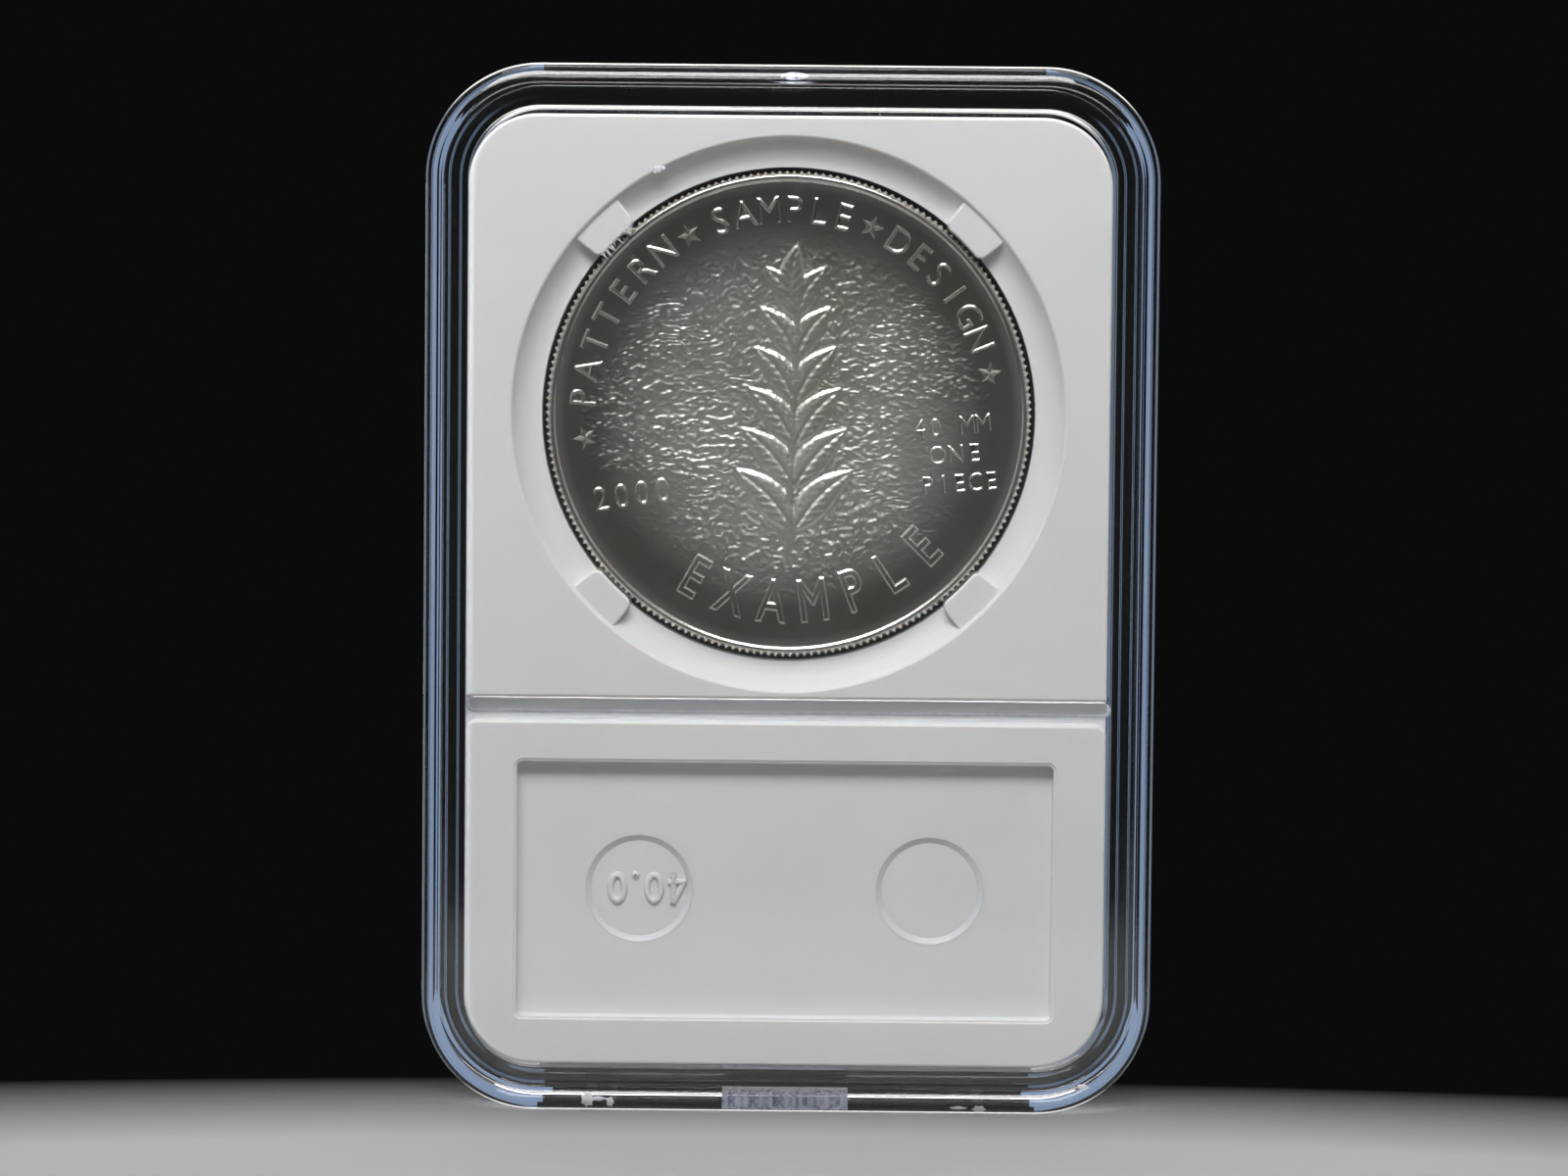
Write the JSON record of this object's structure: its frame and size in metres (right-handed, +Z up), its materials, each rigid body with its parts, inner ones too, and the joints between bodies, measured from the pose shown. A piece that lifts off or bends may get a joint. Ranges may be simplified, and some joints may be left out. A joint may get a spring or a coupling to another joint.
{
  "type": "coin slab",
  "caption": "Flat clear plastic coin slab: two shells close round a white insert that grips a round coin with four prongs above a label recess.",
  "frame": {"origin": "middle of the bottom edge that the slab stands on", "axes": "+Z up the long side, +X across the slab, -Y out of the viewed face"},
  "size_m": [0.06, 0.0084, 0.086],
  "materials": {
    "clear_shell": "clear polished styrene",
    "insert_white": "satin white moulding",
    "coin_silver": "silver-coloured struck metal",
    "label_paper": "blank card"
  },
  "bodies": {
    "rear_case": {"rear_shell": "clear_shell"},
    "front_case": {"front_shell": "clear_shell"},
    "insert": {"coin_insert": "insert_white"},
    "coin_disc": {"coin": "coin_silver"},
    "label": {"label_card": "label_paper"}
  },
  "joints": [
    {"name": "front_lift", "type": "slide", "parent": "rear_case", "child": "front_case", "axis": [0, -1, 0], "range_m": [0, 0.04]},
    {"name": "insert_lift", "type": "slide", "parent": "rear_case", "child": "insert", "axis": [0, -1, 0], "range_m": [0, 0.016]},
    {"name": "coin_lift", "type": "slide", "parent": "insert", "child": "coin_disc", "axis": [0, -1, 0], "range_m": [0, 0.012]},
    {"name": "label_lift", "type": "slide", "parent": "insert", "child": "label", "axis": [0, 1, 0], "range_m": [0, 0.008]}
  ],
  "couplings": [
    {"joint": "insert_lift", "follows": "front_lift", "ratio": 0.4},
    {"joint": "coin_lift", "follows": "front_lift", "ratio": 0.3},
    {"joint": "label_lift", "follows": "front_lift", "ratio": 0.2}
  ]
}
